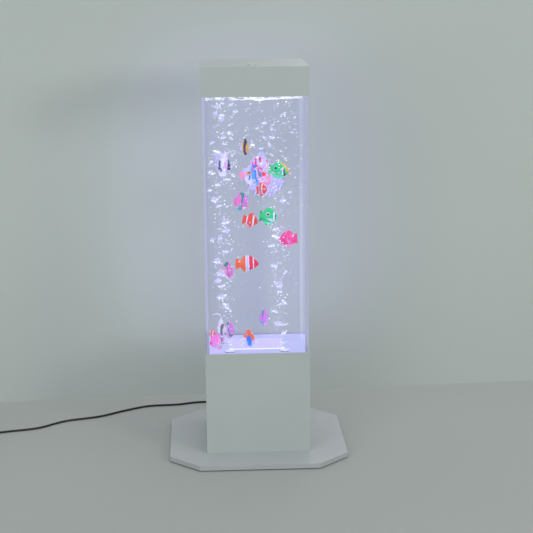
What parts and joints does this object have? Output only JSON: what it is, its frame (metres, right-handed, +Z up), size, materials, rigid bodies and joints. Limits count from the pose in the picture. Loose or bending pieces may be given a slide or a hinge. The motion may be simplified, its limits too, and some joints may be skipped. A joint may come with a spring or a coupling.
{
  "type": "bubble tube floor lamp",
  "caption": "Square clear water column on a boxed octagonal base, lit from below, with two air inlets, floating toy fish, a lift-off cap, a push button and a coiled supply lead",
  "frame": {"origin": "middle of the feet's underside, on the floor", "axes": "+Z up, -Y is the front that faces the viewer, +X is the viewer's right"},
  "size_m": [0.8088, 0.426, 0.7574],
  "materials": {
    "plate_paint": "satin off-white powder coat",
    "white_paint": "satin off-white powder coat",
    "clear_acrylic": "clear polished acrylic",
    "opal_acrylic": "opal acrylic",
    "white_plastic": "moulded nylon",
    "grey_plastic": "moulded plastic",
    "black_plastic": "fine-grained moulded plastic",
    "black_rubber": "matt rubber",
    "cord_black": "satin sleeve",
    "silicone": "translucent silicone",
    "steel": "plain steel",
    "zinc_steel": "grey coat",
    "nickel": "nickel plate",
    "brass": "turned brass",
    "white_board": "white solder mask",
    "green_board": "green solder mask",
    "light_chip": "clear resin over a light chip",
    "red_sleeve": "sleeved wire",
    "fish_yellow": "painted soft plastic",
    "fish_white": "painted soft plastic",
    "fish_pearl": "painted soft plastic",
    "fish_green": "painted soft plastic",
    "fish_orange": "painted soft plastic",
    "fish_pink": "painted soft plastic",
    "fish_coral": "painted soft plastic",
    "fish_blue": "painted soft plastic"
  },
  "bodies": {
    "lamp": {"base_plate": "plate_paint", "base_feet": "black_rubber", "base_screws": "steel", "housing_shell": "white_paint", "corner_posts": "grey_plastic", "support_deck": "grey_plastic", "tank_front": "clear_acrylic", "tank_back": "clear_acrylic", "tank_left": "clear_acrylic", "tank_right": "clear_acrylic", "tank_floor": "clear_acrylic", "light_diffuser": "opal_acrylic", "inlet_bodies": "white_plastic", "inlet_seals": "black_rubber", "inlet_nuts": "white_plastic", "check_valves": "white_plastic", "air_tubes": "silicone", "pump_motor": "steel", "pump_head": "black_plastic", "pump_cradle": "zinc_steel", "pump_dampers": "black_rubber", "pump_screws": "steel", "light_board": "white_board", "light_chips": "light_chip", "light_pillars": "brass", "board_screws": "steel", "control_board": "green_board", "control_parts": "black_plastic", "board_standoffs": "white_plastic", "inner_leads": "red_sleeve", "dc_jack": "black_plastic", "jack_nut": "steel", "button_switch": "grey_plastic", "dc_plug": "cord_black", "cord_lead": "cord_black", "cord_coil": "cord_black", "cord_tie": "black_plastic", "power_adapter": "black_plastic", "adapter_pins": "nickel"},
    "cap": {"top_cap": "white_paint"},
    "refill": {"refill_plug": "white_plastic"},
    "button": {"power_button": "white_plastic"},
    "fish_01": {"fish_01": "fish_yellow"},
    "fish_02": {"fish_02": "fish_white"},
    "fish_03": {"fish_03": "fish_pearl"},
    "fish_04": {"fish_04": "fish_green"},
    "fish_05": {"fish_05": "fish_orange"},
    "fish_06": {"fish_06": "fish_pink"},
    "fish_07": {"fish_07": "fish_orange"},
    "fish_08": {"fish_08": "fish_green"},
    "fish_09": {"fish_09": "fish_coral"},
    "fish_10": {"fish_10": "fish_orange"},
    "fish_11": {"fish_11": "fish_pink"},
    "fish_12": {"fish_12": "fish_pink"},
    "fish_13": {"fish_13": "fish_white"},
    "fish_14": {"fish_14": "fish_pink"},
    "fish_15": {"fish_15": "fish_pink"},
    "fish_16": {"fish_16": "fish_orange"},
    "fish_17": {"fish_17": "fish_blue"}
  },
  "joints": [
    {"name": "cap_lift", "type": "slide", "parent": "lamp", "child": "cap", "axis": [0, 0, 1], "range_m": [0, 0.1]},
    {"name": "refill_plug_lift", "type": "slide", "parent": "cap", "child": "refill", "axis": [0, 0, 1], "range_m": [0, 0.03]},
    {"name": "button_press", "type": "slide", "parent": "lamp", "child": "button", "axis": [0, -1, 0], "range_m": [0, 0.0015], "stiffness_N_per_m": 400},
    {"name": "fish_01_float", "type": "slide", "parent": "lamp", "child": "fish_01", "axis": [0, 0, 1], "range_m": [-0.3645, 0.0813]},
    {"name": "fish_02_float", "type": "slide", "parent": "lamp", "child": "fish_02", "axis": [0, 0, 1], "range_m": [-0.3206, 0.1072]},
    {"name": "fish_03_float", "type": "slide", "parent": "lamp", "child": "fish_03", "axis": [0, 0, 1], "range_m": [-0.2846, 0.097]},
    {"name": "fish_04_float", "type": "slide", "parent": "lamp", "child": "fish_04", "axis": [0, 0, 1], "range_m": [-0.3318, 0.117]},
    {"name": "fish_05_float", "type": "slide", "parent": "lamp", "child": "fish_05", "axis": [0, 0, 1], "range_m": [-0.2985, 0.1565]},
    {"name": "fish_06_float", "type": "slide", "parent": "lamp", "child": "fish_06", "axis": [0, 0, 1], "range_m": [-0.2637, 0.1818]},
    {"name": "fish_07_float", "type": "slide", "parent": "lamp", "child": "fish_07", "axis": [0, 0, 1], "range_m": [-0.2335, 0.2193]},
    {"name": "fish_08_float", "type": "slide", "parent": "lamp", "child": "fish_08", "axis": [0, 0, 1], "range_m": [-0.2396, 0.2076]},
    {"name": "fish_09_float", "type": "slide", "parent": "lamp", "child": "fish_09", "axis": [0, 0, 1], "range_m": [-0.1976, 0.2509]},
    {"name": "fish_10_float", "type": "slide", "parent": "lamp", "child": "fish_10", "axis": [0, 0, 1], "range_m": [-0.1485, 0.2999]},
    {"name": "fish_11_float", "type": "slide", "parent": "lamp", "child": "fish_11", "axis": [0, 0, 1], "range_m": [-0.1216, 0.3238]},
    {"name": "fish_12_float", "type": "slide", "parent": "lamp", "child": "fish_12", "axis": [0, 0, 1], "range_m": [-0.0324, 0.4144]},
    {"name": "fish_13_float", "type": "slide", "parent": "lamp", "child": "fish_13", "axis": [0, 0, 1], "range_m": [-0.0179, 0.4248]},
    {"name": "fish_14_float", "type": "slide", "parent": "lamp", "child": "fish_14", "axis": [0, 0, 1], "range_m": [-0.0073, 0.4392]},
    {"name": "fish_15_float", "type": "slide", "parent": "lamp", "child": "fish_15", "axis": [0, 0, 1], "range_m": [-0.0006, 0.4492]},
    {"name": "fish_16_float", "type": "slide", "parent": "lamp", "child": "fish_16", "axis": [0, 0, 1], "range_m": [-0.0149, 0.4445]},
    {"name": "fish_17_float", "type": "slide", "parent": "lamp", "child": "fish_17", "axis": [0, 0, 1], "range_m": [-0.0006, 0.4438]}
  ]
}
